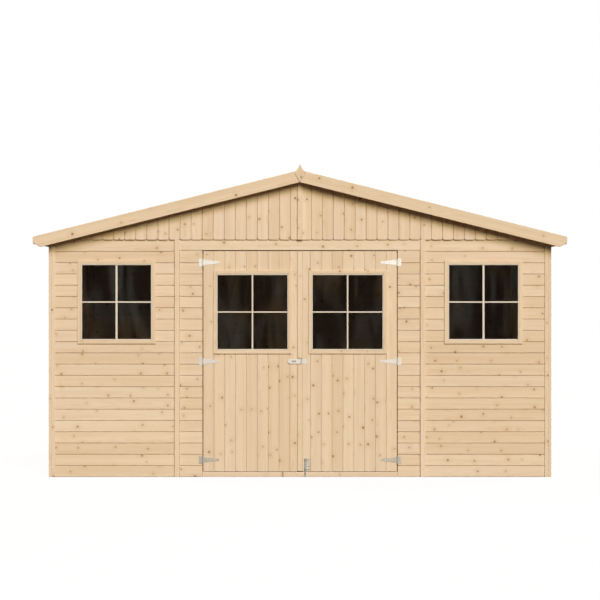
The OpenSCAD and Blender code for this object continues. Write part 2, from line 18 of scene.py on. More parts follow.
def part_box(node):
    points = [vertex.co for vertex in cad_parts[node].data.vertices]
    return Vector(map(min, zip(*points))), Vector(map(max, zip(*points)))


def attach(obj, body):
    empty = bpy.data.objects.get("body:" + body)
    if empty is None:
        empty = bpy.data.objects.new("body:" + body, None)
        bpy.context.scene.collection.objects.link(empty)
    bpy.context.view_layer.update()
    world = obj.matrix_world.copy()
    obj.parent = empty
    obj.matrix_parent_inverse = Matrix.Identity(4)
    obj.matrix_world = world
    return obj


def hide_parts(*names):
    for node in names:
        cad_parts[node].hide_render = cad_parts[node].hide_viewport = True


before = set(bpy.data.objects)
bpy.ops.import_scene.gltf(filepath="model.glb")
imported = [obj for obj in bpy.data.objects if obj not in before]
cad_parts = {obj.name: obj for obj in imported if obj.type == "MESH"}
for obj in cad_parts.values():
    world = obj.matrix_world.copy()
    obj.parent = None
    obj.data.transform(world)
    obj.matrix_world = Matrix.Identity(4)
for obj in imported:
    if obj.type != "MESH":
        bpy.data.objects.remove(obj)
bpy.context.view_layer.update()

MM = 0.001
X, Y, Z = Vector((1, 0, 0)), Vector((0, 1, 0)), Vector((0, 0, 1))
dice = random.Random(12)
print("nodes in the frame:", len(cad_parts))

# %% [markdown]
# ## The camera
# The shed is looked at square on, from seventeen metres in front of its wall and from eye height.
# A long lens keeps its lines parallel, as in a catalogue view. It comes first so that
# everything after it can be judged from the same place.

# %% Camera in front of the doors
VIEW_DISTANCE = 17.0
EYE_HEIGHT = 1.40
LONG_LENS = 130.4
front_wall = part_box("front_left_wall")
bpy.ops.object.camera_add(
    location=(0, front_wall[0].y - VIEW_DISTANCE, EYE_HEIGHT),
    rotation=(math.radians(90), 0, 0),
)
camera = bpy.context.object
camera.name = "front_camera"
camera.data.lens = LONG_LENS
camera.data.sensor_width = 36
camera.data.shift_y = -0.0033
camera.data.clip_end = 200
bpy.context.scene.camera = camera
print("camera at", tuple(round(c, 3) for c in camera.location))

# %% [markdown]
# ## Colour
# Paint charts and swatches give colours as sRGB hex values, but light adds up in linear values.
# One function turns the first into the second, and every colour below goes through it.

# %% From hex to linear colour
def colour(code):
    """Linear RGBA of an sRGB hex value such as #E3C7A5."""
    channels = [int(code[i:i + 2], 16) / 255 for i in (1, 3, 5)]
    linear = [c / 12.92 if c <= 0.04045 else ((c + 0.055) / 1.055) ** 2.4 for c in channels]
    return (*linear, 1.0)


print("planed spruce is", [round(c, 3) for c in colour("#E3C7A5")])

# %% [markdown]
# ## Nodes
# A material is a chain of nodes. One small helper adds a node, sets it up and plugs its inputs in,
# so that each finish below reads from top to bottom like a recipe.

# %% Add one node
def add_node(tree, kind, inputs=None, **settings):
    """Adds a node; each input is given a value, or the node or socket that feeds it."""
    node = tree.nodes.new("ShaderNode" + kind)
    for name, value in settings.items():
        setattr(node, name, value)
    for name, value in (inputs or {}).items():
        if isinstance(value, bpy.types.Node):
            value = next(socket for socket in value.outputs if socket.enabled)
        if isinstance(value, bpy.types.NodeSocket):
            tree.links.new(value, node.inputs[name])
        else:
            node.inputs[name].default_value = value
    return node


def empty_tree(owner):
    """Clears the nodes of a material or a world, and returns the helper that adds nodes to it."""
    owner.use_nodes = True
    owner.node_tree.nodes.clear()
    return partial(add_node, owner.node_tree)


def new_material(name):
    """An empty material, and the helper that adds nodes to it."""
    material = bpy.data.materials.new(name)
    return material, empty_tree(material)


print("node helper ready")

# %% [markdown]
# ## Sawn and planed softwood
# Spruce is pale, with rings that show as soft lines along the board, small brown knots that the lines
# flow round, and a tone that changes from board to board. A pattern pinned to the whole shed would run
# straight across the joints. So each board carries its own coordinates, called *wood*: along the grain,
# through the board and across it, measured from the middle of an imagined tree. *tone* is one random
# number for a board.
# The rings are really about 3 mm apart, and the fibres far finer. The rings are drawn 6 mm apart and the
# fibres 4 mm wide, so that they show from afar.

# %% Wood, from the coordinates that a board carries
RING = 6 * MM
KNOT_STEP = 270 * MM
KNOT_BAND = 62 * MM
KNOT_SMALL = 5.5 * MM
KNOT_LARGE = 12 * MM
KNOT_RAGGED = 3 * MM
RING_DRIFT = 55 * MM  # how far the rings wander off a circle
RING_BEND = 9 * MM    # how far a knot pushes them aside
# Length and width of a spot of each noise
DRIFT_SPOT = (769 * MM, 200 * MM)
STREAK_SPOT = (1111 * MM, 33.3 * MM)
FIBRE_SPOT = (250 * MM, 3.85 * MM)


def scale_for(spot):
    """The scale of a noise whose spots are that long along the grain and that wide across it."""
    length, width = spot
    return 1 / length, 1 / width, 1 / width


def wood_tones(add, tones, place, tone):
    """The colour of each board, shaded by broad streaks and by fine fibres along the grain."""
    ramp = add("ValToRGB", {"Fac": tone})
    stops = ramp.color_ramp.elements
    while len(stops) < len(tones):
        stops.new(0.5)
    for i, code in enumerate(tones):
        stops[i].position = i / (len(tones) - 1)
        stops[i].color = colour(code)
    stretched = add("Mapping", {"Vector": place, "Scale": scale_for(STREAK_SPOT)})
    streaks = add("TexNoise", {"Vector": stretched, "Scale": 1.0, "Detail": 3.0})
    thin = add("Mapping", {"Vector": place, "Scale": scale_for(FIBRE_SPOT)})
    fibres = add("TexNoise", {"Vector": thin, "Scale": 1.0, "Detail": 4.0})
    return ramp, streaks, fibres


def wood_knots(add, place, share):
    """How much of a point is knot, pale or dark, and how near one it lies; share of the places hold one."""
    parts = add("SeparateXYZ", {"Vector": place}).outputs
    flat = add("CombineXYZ", {"X": parts["X"], "Y": parts["Z"]})
    cell = add("VectorMath", {0: flat, 1: (1 / KNOT_STEP, 1 / KNOT_BAND, 1)}, operation="MULTIPLY")
    spot = add("TexVoronoi", {"Vector": cell, "Scale": 1.0, "Randomness": 0.9},
               voronoi_dimensions="2D").outputs
    centre = add("VectorMath", {0: spot["Position"], 1: (KNOT_STEP, KNOT_BAND, 1)}, operation="MULTIPLY")
    reach = add("VectorMath", {0: flat, 1: centre}, operation="DISTANCE")
    ragged = add("TexNoise", {"Vector": place, "Scale": 1 / FIBRE_SPOT[1], "Detail": 1.0})
    wobble = add("Math", {0: ragged, 1: KNOT_RAGGED, 2: reach}, operation="MULTIPLY_ADD")
    luck = add("SeparateColor", {"Color": spot["Color"]}).outputs
    radius = add("MapRange", {"Value": luck["Red"], "To Min": KNOT_SMALL + KNOT_RAGGED / 2,
                              "To Max": KNOT_LARGE + KNOT_RAGGED / 2})
    there = add("Math", {0: luck["Green"], 1: share}, operation="LESS_THAN")
    size = add("Math", {0: wobble, 1: radius}, operation="DIVIDE")
    depth = add("MapRange", {"Value": luck["Blue"], "To Min": 0.35, "To Max": 0.9})
    knot = add("MapRange", {"Value": size, "From Min": 0.5, "From Max": 1.2, "To Min": depth, "To Max": 0.0},
               interpolation_type="SMOOTHSTEP")
    near = add("MapRange", {"Value": size, "From Min": 0.8, "From Max": 4.5, "To Min": 1.0, "To Max": 0.0},
               interpolation_type="SMOOTHSTEP")
    return [add("Math", {0: mask, 1: there}, operation="MULTIPLY") for mask in (knot, near)]


def wood_rings(add, place, near):
    """The dark late wood of each growth ring, bent round the knots."""
    flatten = add("VectorMath", {0: place, 1: (0, 1, 1)}, operation="MULTIPLY")
    depth = add("VectorMath", {0: flatten}, operation="LENGTH")
    drift = add("Mapping", {"Vector": place, "Scale": scale_for(DRIFT_SPOT)})
    wander = add("TexNoise", {"Vector": drift, "Scale": 1.0, "Detail": 2.0})
    bent = add("Math", {0: wander, 1: RING_DRIFT, 2: depth}, operation="MULTIPLY_ADD")
    round_knots = add("Math", {0: near, 1: RING_BEND, 2: bent}, operation="MULTIPLY_ADD")
    count = add("Math", {0: round_knots, 1: RING}, operation="DIVIDE")
    part = add("Math", {0: count}, operation="FRACT")
    return add("Math", {0: part, 1: 2.5}, operation="POWER")


print("rings", round(RING / MM, 1), "mm apart, knots", round(KNOT_STEP / MM), "mm apart")


# %% Four softwoods
def softwood(name, tones, late, knot, share=0.5, rings=0.34, roughness=0.6):
    """A softwood finish: tones from board to board, late wood in the rings, and knots."""
    material, add = new_material(name)
    place = add("Attribute", attribute_name="wood").outputs["Vector"]
    tone = add("Attribute", attribute_name="tone").outputs["Fac"]
    surface, streaks, fibres = wood_tones(add, tones, place, tone)
    heart, near = wood_knots(add, place, share)
    ring = wood_rings(add, place, near)
    shade = add("Math", {0: ring, 1: streaks}, operation="MULTIPLY")
    ringed = add("Math", {0: shade, 1: 2 * rings}, operation="MULTIPLY")
    broad = add("MapRange", {"Value": streaks, "From Min": 0.35, "From Max": 0.75, "To Max": 0.26})
    fine = add("MapRange", {"Value": fibres, "From Min": 0.3, "From Max": 0.7, "To Max": 0.16})
    halo = add("Math", {0: near, 1: 0.2}, operation="MULTIPLY")
    for amount in (ringed, broad, fine, halo):
        surface = add("Mix", {0: amount, 6: surface, 7: colour(late)}, data_type="RGBA")
    knotted = add("Mix", {0: heart, 6: surface, 7: colour(knot)}, data_type="RGBA")
    height = add("Math", {0: fibres, 1: 0.6, 2: ring}, operation="MULTIPLY_ADD")
    bump = add("Bump", {"Strength": 0.35, "Distance": 0.3 * MM, "Height": height})
    dull = add("MapRange", {"Value": fibres, "To Min": roughness - 0.08, "To Max": roughness + 0.1})
    shader = add("BsdfPrincipled", {"Base Color": knotted, "Roughness": dull, "Normal": bump,
                                    "Specular IOR Level": 0.08})
    add("OutputMaterial", {"Surface": shader})
    return material


# Planed spruce cladding: pale cream to honey, satin where the planer has closed the fibres
planed_spruce = softwood("planed_spruce_cladding", ["#E8D0B0", "#E3CAAC", "#E7CDAC", "#DEC3A2"],
                         "#C49F72", "#946D46", share=0.7, rings=0.24)
# Planed spruce trim: the same wood, picked for fewer knots
spruce_trim = softwood("planed_spruce_trim", ["#E7CEAF", "#E1C8A7", "#E3CAA8"], "#C49F72", "#94653A",
                       share=0.3, rings=0.24, roughness=0.58)
# Glazing beads and bars: thin sapwood strips, almost white
sapwood = softwood("planed_sapwood_bead", ["#DFD2BF", "#DCCDB7"], "#CDB898", "#A87B50",
                   share=0.05, rings=0.2, roughness=0.5)
# Sawn pine framing: rougher and a little darker, because the saw leaves the fibres torn
sawn_pine = softwood("sawn_pine_framing", ["#D9BA8E", "#D3B184", "#DDBF96"], "#AD8552", "#7C5230",
                     share=0.5, rings=0.5, roughness=0.78)
print("wood finishes:", [m.name for m in (planed_spruce, spruce_trim, sapwood, sawn_pine)])

# %% [markdown]
# ## Zinc, felt and glass
# The hinges are thin steel, zinc plated and slightly mottled; a painted reflection makes them bright higher
# up and darker and brownish near the ground. The roof is covered with mineral felt, a bitumen sheet strewn
# with slate grit.
# The panes carry painted shade, near black for the dark room behind, and soft upright bands of painted
# reflection. A thin pane hardly bends the light, so it is made see-through with alpha, which lets daylight
# into the shed.

# %% Zinc plated steel
MOTTLE = 9.09 * MM


def zinc_plated_steel(name, low, high):
    """Zinc with a soft mottle, and a painted reflection: its colour near the ground, and higher up."""
    material, add = new_material(name)
    place = add("TexCoord").outputs["Object"]
    height = add("SeparateXYZ", {"Vector": place}).outputs["Z"]
    # Painted reflection: the colour turns from low near the ground to high further up, as the bright
    # surroundings would show in the metal.
    painted_reflection_fade = add("MapRange", {"Value": height, "From Min": 0.13, "From Max": 1.25})
    painted_reflection_colour = add("Mix", {0: painted_reflection_fade, 6: colour(low), 7: colour(high)}, data_type="RGBA")
    mottle = add("TexNoise", {"Vector": place, "Scale": 1 / MOTTLE, "Detail": 2.0})
    patch = add("MapRange", {"Value": mottle, "From Min": 0.4, "From Max": 0.7, "To Max": 0.3})
    mixed = add("Mix", {0: patch, 6: painted_reflection_colour, 7: colour("#BDB9B6")}, data_type="RGBA")
    rough = add("MapRange", {"Value": mottle, "To Min": 0.34, "To Max": 0.5})
    shader = add("BsdfPrincipled", {"Base Color": mixed, "Roughness": rough, "Metallic": 0.85})
    add("OutputMaterial", {"Surface": shader})
    return material


# Zinc plated steel, with a painted reflection: bright higher up, darker and brownish near the ground
zinc = zinc_plated_steel("zinc_plated_steel", "#958A7D", "#B7B1AB")
# Passivated zinc of the foot bolt's plate: a thin yellow film warms the grey
passivated = zinc_plated_steel("passivated_zinc_plate", "#958C7C", "#958C7C")
# Galvanised steel of the bolt's rod: dipped, so it is duller and colder
galvanised = zinc_plated_steel("galvanised_steel_rod", "#8F918B", "#8F918B")
print(zinc.name, passivated.name, galvanised.name)

# %% Mineral roofing felt
GRIT = 3 * MM  # the real grit is about 1 mm; it is drawn coarser so that it shows
CLOUDS = 400 * MM


def mineral_felt():
    """Dark bitumen sheet with slate grit, in slightly paler and darker clouds."""
    material, add = new_material("mineral_roofing_felt")
    place = add("TexCoord").outputs["Object"]
    grit = add("TexVoronoi", {"Vector": place, "Scale": 1 / GRIT})
    speck = add("SeparateColor", {"Color": grit.outputs["Color"]}).outputs["Red"]
    clouds = add("TexNoise", {"Vector": place, "Scale": 1 / CLOUDS, "Detail": 4.0})
    base = add("Mix", {0: clouds, 6: colour("#4A4B4A"), 7: colour("#636462")}, data_type="RGBA")
    lit = add("Math", {0: speck, 1: 0.35}, operation="MULTIPLY")
    specked = add("Mix", {0: lit, 6: base, 7: colour("#8A8B87")}, data_type="RGBA")
    bump = add("Bump", {"Strength": 0.5, "Distance": 0.6 * MM, "Height": speck})
    shader = add("BsdfPrincipled", {"Base Color": specked, "Roughness": 0.92, "Normal": bump})
    add("OutputMaterial", {"Surface": shader})
    return material


felt = mineral_felt()
print(felt.name)

# %% Window glass
BAND_WIDTH = 111.1 * MM
BAND_HEIGHT = 454.5 * MM
CAST = 312.5 * MM  # from a grey part of the painted reflection to an earthy one


def float_glass():
    """Float glass painted near black as shade of the dark room, with upright bands of painted reflection,
    part grey and part earthy.
    """
    material, add = new_material("float_glass")
    place = add("TexCoord").outputs["Object"]
    tall = add("Mapping", {"Vector": place, "Scale": (1 / BAND_WIDTH, 3, 1 / BAND_HEIGHT)})
    bands = add("TexNoise", {"Vector": tall, "Scale": 1.0, "Detail": 3.0, "Distortion": 0.5})
    painted_reflection_mask = add("MapRange", {"Value": bands, "From Min": 0.45, "From Max": 0.78})
    cast = add("TexNoise", {"Vector": place, "Scale": 1 / CAST, "Detail": 1.0})
    warmth = add("MapRange", {"Value": cast, "From Min": 0.42, "From Max": 0.58})
    painted_reflection_tint = add("Mix", {0: warmth, 6: colour("#54442D"), 7: colour("#474943")}, data_type="RGBA")
    # Painted shade and painted reflection: the near-black base stands for the dark room behind, the bands for
    # reflections in the pane.
    painted_pane_colour = add("Mix", {0: painted_reflection_mask, 6: colour("#0C0A07"), 7: painted_reflection_tint}, data_type="RGBA")
    rough = add("MapRange", {"Value": painted_reflection_mask, "To Min": 0.02, "To Max": 0.12})
    shader = add("BsdfPrincipled", {"Base Color": painted_pane_colour, "Roughness": rough, "IOR": 1.45,
                                    "Specular IOR Level": 0.1, "Alpha": 0.3})
    add("OutputMaterial", {"Surface": shader})
    return material


glass = float_glass()
print(glass.name)

# %% [markdown]
# ## Workbench helpers
# Blender's operators act on whatever is selected. Each of these few helpers selects one thing and does
# one job: pick edges or faces by a test, round an edge, copy a piece, take it apart, join parts, saw a
# piece along a plane, cut a hole, and finish a piece.

# %% Select
def clear_bench():
    """Nothing selected, in object mode."""
    if bpy.context.object and bpy.context.object.mode != "OBJECT":
        bpy.ops.object.mode_set(mode="OBJECT")
    bpy.ops.object.select_all(action="DESELECT")


def take(piece):
    """Selects one piece and makes it the active one."""
    clear_bench()
    piece.select_set(True)
    bpy.context.view_layer.objects.active = piece


def edit_all(piece):
    """In edit mode, with all of a piece selected."""
    take(piece)
    bpy.ops.object.mode_set(mode="EDIT")
    bpy.ops.mesh.select_all(action="SELECT")


def pick(piece, what, test):
    """In edit mode, selects the faces ("FACE") or edges ("EDGE") of a piece that pass a test."""
    take(piece)
    bpy.ops.object.mode_set(mode="EDIT")
    bpy.ops.mesh.select_mode(type=what)
    bpy.ops.mesh.select_all(action="DESELECT")
    mesh = bmesh.from_edit_mesh(piece.data)
    for element in (mesh.faces if what == "FACE" else mesh.edges):
        element.select_set(bool(test(element)))
    bmesh.update_edit_mesh(piece.data)


clear_bench()
print("selected:", len(bpy.context.selected_objects))


# %% Ease edges, copy, take apart and join
EASE_OVER = 25  # an edge is sharp where its faces turn by more than this, in degrees


def middle(edge):
    """The middle point of an edge."""
    return (edge.verts[0].co + edge.verts[1].co) / 2


def ease_edges(piece, radius, segments=2, test=lambda edge: True):
    """Rounds the edges that pass a test; with no test, all sharp ones."""
    pick(piece, "EDGE", lambda e: e.calc_face_angle(0) > math.radians(EASE_OVER) and test(e))
    bpy.ops.mesh.bevel(offset=radius, segments=segments, affect="EDGES", clamp_overlap=True)
    clear_bench()


def duplicate(piece):
    """A copy of a piece, with a mesh of its own."""
    copy = piece.copy()
    copy.data = piece.data.copy()
    bpy.context.collection.objects.link(copy)
    return copy


def take_apart(piece):
    """Takes a piece apart where its parts don't touch."""
    edit_all(piece)
    bpy.ops.mesh.separate(type="LOOSE")
    bpy.ops.object.mode_set(mode="OBJECT")
    return list(bpy.context.selected_objects)


def join(parts):
    """Joins parts into one piece."""
    take(parts[0])
    for part in parts:
        part.select_set(True)
    bpy.ops.object.join()
    return bpy.context.object


print("edges are eased where two faces meet at over", EASE_OVER, "degrees")


# %% Saw and cut
def saw(piece, point, away):
    """Saws along a plane and throws away the side that the arrow points to."""
    edit_all(piece)
    bpy.ops.mesh.bisect(plane_co=point, plane_no=away, use_fill=True, clear_outer=True)
    clear_bench()


def block(low, high):
    """A plain block between two corners, as a start or as a cutter."""
    clear_bench()
    low, high = Vector(low), Vector(high)
    bpy.ops.mesh.primitive_cube_add(size=1, location=(low + high) / 2, scale=high - low)
    bpy.ops.object.transform_apply()
    return bpy.context.object


def cut_out(piece, cutter):
    """Takes the cutter's shape out of a piece."""
    take(piece)
    cut = piece.modifiers.new("cut", "BOOLEAN")
    cut.operation, cut.solver, cut.object = "DIFFERENCE", "EXACT", cutter
    bpy.ops.object.modifier_apply(modifier=cut.name)
    bpy.data.objects.remove(cutter)


print("saw and cutter ready")


def finish_piece(piece, name, body, finish, *nodes):
    """Names a finished piece, gives it its finish, and lets it ride on its body."""
    piece.name = name
    piece.data.name = name
    piece.data.materials.clear()
    piece.data.materials.append(finish)
    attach(piece, body)
    if nodes:
        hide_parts(*nodes)
    clear_bench()
    print(f"{name}: {len(piece.data.polygons)} faces")


# %% [markdown]
# ## Grain
# Each board comes from its own tree, so its grain must not match its neighbour's. The place of every
# face corner is turned into the board's own axes and shifted by a random amount: far along the trunk,
# a few centimetres out from the middle of the tree, and a little to one side.

# %% Write the grain of each board
def new_tree():
    """A random place in a random tree, and the tone of its wood."""
    shift = Vector((dice.uniform(0, 40), dice.uniform(20, 90) * MM, dice.uniform(-35, 35) * MM))
    return shift, dice.random()


def write_grain(piece, to_board, edges=(0.0,)):
    """Stores wood and tone on a piece; edges are where each board starts, across the boards."""
    mesh = piece.data
    for name, kind in (("wood", "FLOAT_VECTOR"), ("tone", "FLOAT")):
        if name in mesh.attributes:
            mesh.attributes.remove(mesh.attributes[name])
        mesh.attributes.new(name, kind, "CORNER")
    wood, tone = mesh.attributes["wood"].data, mesh.attributes["tone"].data
    trees = [new_tree() for _ in edges]
    for face in mesh.polygons:
        across = (to_board @ face.center).z
        n = max([i for i, edge in enumerate(edges) if edge <= across], default=0)
        shift, shade = trees[n]
        for corner in face.loop_indices:
            place = to_board @ mesh.vertices[mesh.loops[corner].vertex_index].co
            wood[corner].vector = place + shift - Z * edges[n]
            tone[corner].value = shade


def stand(origin, along, through):
    """The matrix that stands a board up: along its grain, through its thickness, and across it."""
    matrix = Matrix((along, through, along.cross(through))).transposed().to_4x4()
    matrix.translation = origin
    return matrix


print("one tree:", new_tree())

# %% [markdown]
# ## The cladding board
# The walls are tongue-and-groove boards. Each has a tongue on one long edge, a groove in the other and
# chamfers along its face, which meet in the fine lines that cross the walls. The profile could be drawn
# as an outline and extruded, but starting from a block and working its faces is how the cutter makes it.
# One metre is modelled. Copies are lengthened and widened by moving their ends, so that the
# tongue and the chamfers keep their size.

# %% Model one metre of board
BLANK_LENGTH = 1.0
BLANK_WIDTH = 88 * MM
JOINT = 1.5 * MM
TONGUE = 6 * MM
TONGUE_DEPTH = 0.8  # the tongue lies towards the back of the board, so the joint is a deep dark line
TONGUE_SHARE = 0.30  # of the board's thickness
GROOVE_SHARE = 0.38
CHAMFER = 2.2 * MM
LOWER_CHAMFER = 4 * MM


def board_blank(thickness, joint=JOINT, lower_chamfer=LOWER_CHAMFER):
    """One board along X, its face at y = 0 and its lower edge at z = 0, with tongue and groove."""
    top = BLANK_WIDTH - joint
    board = block((0, 0, 0), (BLANK_LENGTH, thickness, top))
    for up, reach, share in ((1, TONGUE, TONGUE_SHARE), (-1, -TONGUE - 1 * MM, GROOVE_SHARE)):
        pick(board, "FACE", lambda f: f.normal.z * up > 0.9)
        edge = Vector((BLANK_LENGTH / 2, thickness * TONGUE_DEPTH, top if up > 0 else 0))
        bpy.ops.mesh.extrude_region_move(TRANSFORM_OT_translate={"value": (0, 0, 0)})
        bpy.ops.transform.resize(value=(1, share, 1), center_override=edge)
        bpy.ops.mesh.extrude_region_move(TRANSFORM_OT_translate={"value": (0, 0, up * reach)})
    for size, edge_z in ((CHAMFER, top), (lower_chamfer, 0)):
        ease_edges(board, size, 1, lambda e: max(v.co.y for v in e.verts) < 0.1 * MM
                   and abs((e.verts[0].co - e.verts[1].co).x) > 0.5 and abs(middle(e).z - edge_z) < 0.1 * MM)
    return board


def lay_boards(blank, place, length, edges):
    """Lays copies of a board side by side between the given edges, and stands them in their place."""
    boards = []
    for near, far in zip(edges, edges[1:]):
        board = duplicate(blank)
        spare = 3 * MM + JOINT if far == edges[-1] else 0
        for vertex in board.data.vertices:
            if vertex.co.x > BLANK_LENGTH / 2:
                vertex.co.x += length - BLANK_LENGTH
            if vertex.co.z > BLANK_WIDTH / 2:
                vertex.co.z += far - near + spare - BLANK_WIDTH
            vertex.co.z += near
        boards.append(board)
    panel = join(boards)
    saw(panel, Z * edges[-1], Z)
    panel.data.transform(place)
    return panel


wall_t = front_wall[1].y - front_wall[0].y
wall_blank = board_blank(wall_t)
print("board profile:", len(wall_blank.data.vertices), "points")

# %% [markdown]
# ## Walls
# Twenty-one courses climb each wall, 88 mm apart. The front wall is three panels side by side: a wide
# one at each end with a window hole, and the short boards beside the doors. The side walls are sawn to
# the roof slope, and the back wall repeats the front's panels without openings.

# %% Roof and course sizes
PITCH = math.radians(14)
COURSE = 88.17 * MM
COURSES = 21
ROOF_BOARD = 18 * MM
OVERLONG = 20 * MM  # what is sawn or cut to fit first runs this far past its end
ridge_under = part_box("right_roof_boards")[1].z - ROOF_BOARD / math.cos(PITCH)
ridge = Z * ridge_under


def slope_ways(side):
    """The ways down a roof slope and square out of it; side is 1 for the right slope, -1 for the left."""
    return (Vector((side * math.cos(PITCH), 0, -math.sin(PITCH))),
            Vector((side * math.sin(PITCH), 0, math.cos(PITCH))))


def courses(top, count):
    """Lower edges of so many courses, and the top edge."""
    return [n * COURSE for n in range(count)] + [top]


print("underside of the ridge:", round(ridge_under, 4))

# %% Front wall panels
STRIP = 40 * MM  # width of the cover strips over the panels' joints
KERF_WIDTH = 1.5 * MM
KERF_DEPTH = 9 * MM
THROUGH = 50 * MM    # a cutter for a hole runs this far past both faces
LINER_LAP = 15 * MM  # the hole's edge lies this far inside the casing's outer edge


def window_cutter(node):
    """A block as large as the hole in the boards behind a window's casing."""
    low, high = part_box(node)
    inset = Vector((LINER_LAP, -THROUGH, LINER_LAP))
    return block(low + inset, high - inset)


def kerf(strip_edge, low, high):
    """A cutter for the fine gap that the boards leave to the right of a cover strip."""
    return block((strip_edge, low.y - 1 * MM, low.z), (strip_edge + KERF_WIDTH, low.y + KERF_DEPTH, high.z))


def wall_panel(node, name, window=None, count=COURSES, strip_edge=None):
    """Horizontal boards in place of a front panel, with its window hole."""
    low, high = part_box(node)
    place = stand(Vector((low.x, low.y, 0)), X, Y)
    edges = courses(high.z, count)
    panel = lay_boards(wall_blank, place, high.x - low.x, edges)
    if window:
        cut_out(panel, window_cutter(window))
    if strip_edge is not None:
        cut_out(panel, kerf(strip_edge, low, high))
    write_grain(panel, place.inverted(), edges[:-1])
    finish_piece(panel, name, "shed", planed_spruce, node)


wall_panel("front_left_wall", "front_left_cladding", "left_window_frame")
wall_panel("front_right_wall", "front_right_cladding", "right_window_frame")
wall_panel("front_left_pier", "left_pier_cladding", count=COURSES - 1, strip_edge=front_wall[1].x + STRIP / 2)
wall_panel("front_right_pier", "right_pier_cladding", count=COURSES - 1)

# %% Side and back walls
def side_cladding(node, name, side):
    """Boards of a side wall, sawn along the roof slope."""
    low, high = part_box(node)
    face = Vector((high.x if side > 0 else low.x, low.y if side > 0 else high.y, 0))
    place = stand(face, Y * side, X * -side)
    edges = courses(high.z + OVERLONG, COURSES)
    wall = lay_boards(wall_blank, place, high.y - low.y, edges)
    saw(wall, ridge, slope_ways(side)[1])
    write_grain(wall, place.inverted(), edges[:-1])
    finish_piece(wall, name, "shed", planed_spruce, node)


side_cladding("left_wall", "left_wall_cladding", -1)
side_cladding("right_wall", "right_wall_cladding", 1)

low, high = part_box("back_wall")
joint = front_wall[1].x
panels = []
for start, end in ((high.x, -joint), (-joint, joint), (joint, low.x)):
    place = stand(Vector((start, high.y, 0)), -X, -Y)
    edges = courses(high.z, COURSES)
    panels.append(lay_boards(wall_blank, place, start - end, edges))
    write_grain(panels[-1], place.inverted(), edges[:-1])
finish_piece(join(panels), "back_wall_cladding", "shed", planed_spruce, "back_wall")

# %% [markdown]
# ## Timbers
# Framing, strips, ledges and trim are plain pieces of timber that the frame already holds at the right
# size. A copy of each is merged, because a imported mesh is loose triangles, its edges are eased as a
# planer leaves them, and it is taken apart into its timbers so that each gets its own grain along
# its longest edge.

# %% Copy timbers from the frame
def copy_node(node):
    """A copy of a frame node, merged, with whole flat faces."""
    copy = bpy.data.objects.new(node + "_copy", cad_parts[node].data.copy())
    bpy.context.collection.objects.link(copy)
    take(copy)
    bpy.ops.mesh.customdata_custom_splitnormals_clear()
    edit_all(copy)
    bpy.ops.mesh.remove_doubles(threshold=0.01 * MM)
    bpy.ops.mesh.dissolve_limited(angle_limit=math.radians(0.5))
    bpy.ops.mesh.normals_make_consistent(inside=False)
    clear_bench()
    return copy


def grain_axes(piece, along=None):
    """The matrix into a timber's own axes: its longest edge, and square to its largest face."""
    mesh = piece.data
    points = [v.co for v in mesh.vertices]
    if along is None:
        spans = [points[e.vertices[1]] - points[e.vertices[0]] for e in mesh.edges]
        along = max(spans, key=lambda s: s.length).normalized()
    faces = [f for f in mesh.polygons if abs(f.normal.dot(along)) < 0.1]
    through = max(faces, key=lambda f: f.area).normal.copy()
    through = (through - along * through.dot(along)).normalized()
    centre = sum(points, Vector()) / len(points)
    return stand(centre, along, through).inverted()


def timbers(node, ease, along=None):
    """A node's timbers with eased edges, each with its own grain."""
    whole = copy_node(node)
    ease_edges(whole, ease)
    parts = sorted(take_apart(whole), key=lambda part: tuple(part.bound_box[0]))
    for part in parts:
        write_grain(part, grain_axes(part, along))
    return join(parts)


def timber_piece(node, name, body, finish, ease):
    """A finished piece of timbers in place of a node."""
    finish_piece(timbers(node, ease), name, body, finish, node)


for node, name in (("front_frame", "front_framing"), ("back_frame", "back_framing"),
                   ("left_frame", "left_framing"), ("right_frame", "right_framing"),
                   ("floor_bearers", "floor_joists"), ("roof_purlins", "purlins_and_ridge_beam"),
                   ("door_stops", "door_stop_strips")):
    timber_piece(node, name, "shed", sawn_pine, 2 * MM)
for side in ("left", "right"):
    timber_piece(side + "_door_ledges", side + "_door_ledges_and_brace", side + "_door", sawn_pine, 2 * MM)

# %% Trim
timber_piece("front_cover_strips", "front_strips", "shed", spruce_trim, 1.8 * MM)
timber_piece("back_cover_strips", "back_strips", "shed", spruce_trim, 1.8 * MM)

# %% Corner boards, planed down on the front and back
CORNER_PROUD = 7 * MM
corners = timbers("corner_trims", 1.8 * MM)
corner_face = abs(front_wall[0].y) + CORNER_PROUD
for way in (-1, 1):
    saw(corners, Y * way * corner_face, Y * way)
ease_edges(corners, 1.2 * MM, 1, lambda e: abs(middle(e).y) > corner_face - 0.1 * MM)
finish_piece(corners, "corner_boards", "shed", spruce_trim, "corner_trims")

# %% The doors' meeting strip, planed down too
MEETING_PROUD = 9 * MM
meeting = timbers("door_cover_strip", 1.8 * MM)
meeting_face = front_wall[0].y - MEETING_PROUD
saw(meeting, Y * meeting_face, -Y)
ease_edges(meeting, 1.2 * MM, 1, lambda e: middle(e).y < meeting_face + 0.1 * MM)
finish_piece(meeting, "meeting_strip", "right_door", spruce_trim, "door_cover_strip")

# %% Fascia, planed down to the height that the barge boards' cut ends cover
FASCIA_TRIM = 20 * MM
fascia = timbers("eaves_boards", 1.8 * MM)
saw(fascia, Z * (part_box("eaves_boards")[0].z + FASCIA_TRIM), -Z)
finish_piece(fascia, "eaves_fascia", "shed", spruce_trim, "eaves_boards")

# %% Header, thickened below the gable boards
HEADER_PROUD = 5 * MM
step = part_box("front_gable")[0].z - 0.5 * MM  # just under the gable boards
header = timbers("front_header", CHAMFER)
edit_all(header)
bpy.ops.mesh.bisect(plane_co=Z * step, plane_no=Z)
pick(header, "FACE", lambda f: f.normal.y < -0.9 and f.calc_center_median().z < step)
bpy.ops.mesh.extrude_region_move(TRANSFORM_OT_translate={"value": -Y * HEADER_PROUD})
clear_bench()
write_grain(header, grain_axes(header, X))
finish_piece(header, "header_board", "shed", planed_spruce, "front_header")

